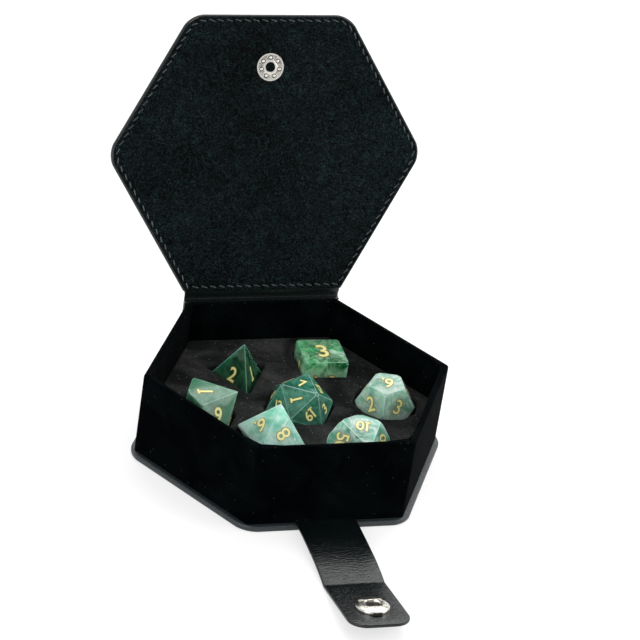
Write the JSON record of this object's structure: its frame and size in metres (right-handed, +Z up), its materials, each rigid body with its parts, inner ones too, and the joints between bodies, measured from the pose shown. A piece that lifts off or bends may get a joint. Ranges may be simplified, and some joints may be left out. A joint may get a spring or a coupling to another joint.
{
  "type": "hexagonal dice case",
  "caption": "Hexagonal hinged-lid dice case with a snap strap, a velvet tray and a flocked foam insert that seats a set of polyhedral dice.",
  "frame": {"origin": "middle of the underside of the base", "axes": "+X along the lid's hinge, -Y towards the front where the strap is, +Z up"},
  "size_m": [0.1192, 0.2076, 0.1344],
  "materials": {
    "black_leather": "fine grained, satin",
    "grained_lining": "pebble grained, satin",
    "strap_lining": "fine grained, satin",
    "greyboard": "matt pressed board",
    "black_velvet": "short pile",
    "flocked_foam": "flocked",
    "black_thread": "twisted thread",
    "spring_wire": "drawn wire",
    "bright_steel": "nickel plated",
    "black_cap": "black, semi gloss",
    "green_stone": "polished, clouded green"
  },
  "bodies": {
    "tray": {"base_board": "greyboard", "base_leather_top": "black_leather", "base_leather_wrap": "black_leather", "foam_insert": "flocked_foam", "hinge_strip_lower": "black_leather", "spine_board": "greyboard", "spine_leather": "black_leather", "strap_root": "black_leather", "tray_velvet": "black_velvet", "wall_board_front": "greyboard", "wall_board_front_left": "greyboard", "wall_board_front_right": "greyboard", "wall_board_rear": "greyboard", "wall_board_rear_left": "greyboard", "wall_board_rear_right": "greyboard"},
    "lid": {"hinge_strip_upper": "black_leather", "lid_board": "greyboard", "lid_leather": "black_leather", "lid_lining": "grained_lining", "lid_snap_eyelet": "bright_steel", "lid_snap_stud": "bright_steel", "lid_stitching": "black_thread"},
    "strap_riser": {"strap_riser_leather": "black_leather", "strap_riser_lining": "strap_lining"},
    "strap_flap": {"strap_flap_leather": "black_leather", "strap_flap_lining": "strap_lining", "strap_snap_cap": "black_cap", "strap_snap_socket": "bright_steel", "strap_snap_spring": "spring_wire"},
    "die_d10": {"die_d10": "green_stone"},
    "die_d12": {"die_d12": "green_stone"},
    "die_d20": {"die_d20": "green_stone"},
    "die_d4": {"die_d4": "green_stone"},
    "die_d6": {"die_d6": "green_stone"},
    "die_d8": {"die_d8": "green_stone"},
    "die_percentile": {"die_percentile": "green_stone"}
  },
  "joints": [
    {"name": "lid_hinge", "type": "hinge", "parent": "tray", "child": "lid", "pos_m": [0, 0.05183, 0.03615], "axis": [-1, 0, 0], "range_deg": [-110.3, 84.7]},
    {"name": "strap_root_bend", "type": "hinge", "parent": "tray", "child": "strap_riser", "pos_m": [0, -0.05248, 0.0031], "axis": [1, 0, 0], "range_deg": [-92.81, 0]},
    {"name": "strap_fold_bend", "type": "hinge", "parent": "strap_riser", "child": "strap_flap", "pos_m": [0, -0.08668, 0.00123], "axis": [1, 0, 0], "range_deg": [-70.69, 4.22]},
    {"name": "die_d10_lift", "type": "slide", "parent": "tray", "child": "die_d10", "axis": [0, 0, 1], "range_m": [0, 0.04]},
    {"name": "die_d12_lift", "type": "slide", "parent": "tray", "child": "die_d12", "axis": [0, 0, 1], "range_m": [0, 0.04]},
    {"name": "die_d20_lift", "type": "slide", "parent": "tray", "child": "die_d20", "axis": [0, 0, 1], "range_m": [0, 0.04]},
    {"name": "die_d4_lift", "type": "slide", "parent": "tray", "child": "die_d4", "axis": [0, 0, 1], "range_m": [0, 0.04]},
    {"name": "die_d6_lift", "type": "slide", "parent": "tray", "child": "die_d6", "axis": [0, 0, 1], "range_m": [0, 0.04]},
    {"name": "die_d8_lift", "type": "slide", "parent": "tray", "child": "die_d8", "axis": [0, 0, 1], "range_m": [0, 0.04]},
    {"name": "die_percentile_lift", "type": "slide", "parent": "tray", "child": "die_percentile", "axis": [0, 0, 1], "range_m": [0, 0.04]}
  ]
}
